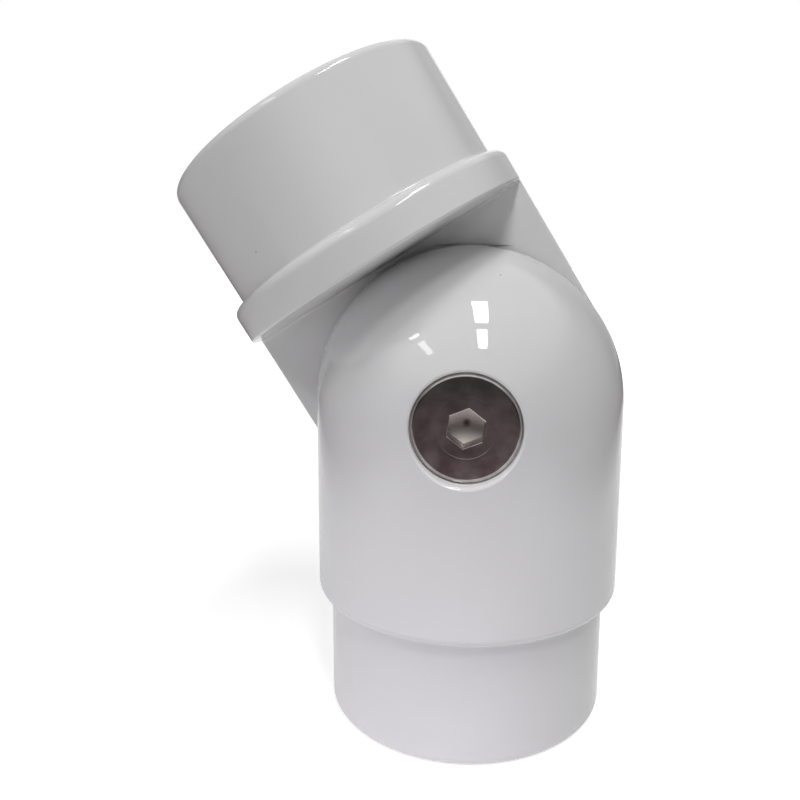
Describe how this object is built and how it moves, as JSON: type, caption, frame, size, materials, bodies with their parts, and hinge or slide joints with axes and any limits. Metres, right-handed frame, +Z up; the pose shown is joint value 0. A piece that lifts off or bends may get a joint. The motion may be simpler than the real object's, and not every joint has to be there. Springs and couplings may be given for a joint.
{
  "type": "adjustable handrail elbow",
  "caption": "Adjustable handrail elbow: white cast halves with round tube spigots that close into a ball and swivel on a countersunk clamp screw.",
  "frame": {"origin": "on the lower tube's axis at its seat, where the cut end of the tube stops against the lower collar", "axes": "+Z up the lower tube's axis to the pivot, -Y towards the head of the screw, +X to the right seen from the screw's side"},
  "size_m": [0.0722, 0.0508, 0.1079],
  "materials": {
    "white_coat": "gloss white powder coat on a casting",
    "stainless": "plain stainless, turned and pressed",
    "washer_plastic": "matt"
  },
  "bodies": {
    "lower_half": {"lower_casting": "white_coat"},
    "upper_half": {"upper_casting": "white_coat", "thread_insert": "stainless", "friction_washer": "washer_plastic"},
    "clamp_screw": {"pivot_screw": "stainless"}
  },
  "joints": [
    {"name": "elbow_bend", "type": "hinge", "parent": "lower_half", "child": "upper_half", "pos_m": [0, 0, 0.032], "axis": [0, -1, 0], "range_deg": [-122, 58]},
    {"name": "screw_turn", "type": "hinge", "parent": "upper_half", "child": "clamp_screw", "pos_m": [0, 0, 0.032], "axis": [0, -1, 0], "range_deg": [0, 360]}
  ]
}
